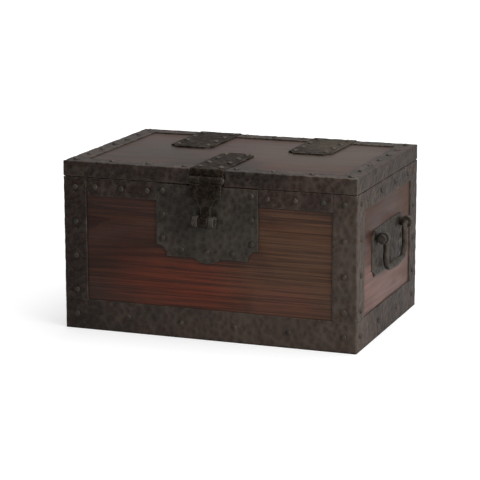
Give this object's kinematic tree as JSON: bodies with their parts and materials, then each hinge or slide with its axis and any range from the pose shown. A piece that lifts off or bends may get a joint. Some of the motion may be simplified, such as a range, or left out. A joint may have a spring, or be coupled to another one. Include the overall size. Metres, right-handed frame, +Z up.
{
  "type": "coin chest",
  "caption": "Iron-bound wooden coin chest with a hinged lid, a hasp over a wide lock plate with padlock eyes, and a bail handle on each side.",
  "frame": {"origin": "middle of the case's base, on the surface that the chest stands on", "axes": "+X along the width to the chest's right seen from the front, +Y from the front to the back, +Z up"},
  "size_m": [0.457, 0.3134, 0.2375],
  "materials": {
    "lacquered_wood": "worn dark red-brown lacquer over planed boards",
    "plain_wood": "unlacquered planed boards, darkened with age",
    "wrought_iron": "hammered wrought iron, oiled black with brown rust",
    "nail_iron": "forged nail heads, rubbed bright on their facets"
  },
  "bodies": {
    "case": {"back_board": "lacquered_wood", "base_band_back": "wrought_iron", "base_band_front": "wrought_iron", "base_band_left": "wrought_iron", "base_band_right": "wrought_iron", "bottom_board": "plain_wood", "case_nails_back": "nail_iron", "case_nails_front": "nail_iron", "case_nails_left": "nail_iron", "case_nails_right": "nail_iron", "corner_strap_back_left": "wrought_iron", "corner_strap_back_right": "wrought_iron", "corner_strap_front_left": "wrought_iron", "corner_strap_front_right": "wrought_iron", "front_board": "lacquered_wood", "handle_nails_left": "nail_iron", "handle_nails_right": "nail_iron", "handle_plate_left": "wrought_iron", "handle_plate_right": "wrought_iron", "handle_posts_left": "wrought_iron", "handle_posts_right": "wrought_iron", "handle_roves_left": "wrought_iron", "handle_roves_right": "wrought_iron", "hinge_back_leaf_left": "wrought_iron", "hinge_back_leaf_right": "wrought_iron", "hinge_back_nails": "nail_iron", "hinge_pin_left": "wrought_iron", "hinge_pin_right": "wrought_iron", "left_board": "lacquered_wood", "lock_plate": "wrought_iron", "lock_plate_nails": "nail_iron", "right_board": "lacquered_wood", "rim_band_front_left": "wrought_iron", "rim_band_front_right": "wrought_iron", "rim_band_left": "wrought_iron", "rim_band_right": "wrought_iron", "staple_left": "wrought_iron", "staple_right": "wrought_iron", "staple_roves": "wrought_iron"},
    "lid": {"hasp_pin": "wrought_iron", "hasp_strap": "wrought_iron", "hinge_lid_leaf_left": "wrought_iron", "hinge_lid_leaf_right": "wrought_iron", "lid_batten_left": "plain_wood", "lid_batten_right": "plain_wood", "lid_board": "lacquered_wood", "lid_nails": "nail_iron", "lid_strap_back_left": "wrought_iron", "lid_strap_back_middle": "wrought_iron", "lid_strap_back_right": "wrought_iron", "lid_strap_front_left": "wrought_iron", "lid_strap_front_right": "wrought_iron", "lid_strap_left": "wrought_iron", "lid_strap_right": "wrought_iron"},
    "hasp": {"hasp": "wrought_iron"},
    "bail_left": {"handle_bail_left": "wrought_iron"},
    "bail_right": {"handle_bail_right": "wrought_iron"}
  },
  "joints": [
    {"name": "lid_hinge", "type": "hinge", "parent": "case", "child": "lid", "pos_m": [0, 0.1473, 0.212], "axis": [-1, 0, 0], "range_deg": [0, 180]},
    {"name": "hasp_hinge", "type": "hinge", "parent": "lid", "child": "hasp", "pos_m": [0, -0.1468, 0.2203], "axis": [-1, 0, 0], "range_deg": [0, 180]},
    {"name": "bail_left_swing", "type": "hinge", "parent": "case", "child": "bail_left", "pos_m": [-0.22, 0, 0.14], "axis": [0, 1, 0], "range_deg": [0, 180]},
    {"name": "bail_right_swing", "type": "hinge", "parent": "case", "child": "bail_right", "pos_m": [0.22, 0, 0.14], "axis": [0, -1, 0], "range_deg": [0, 180]}
  ]
}
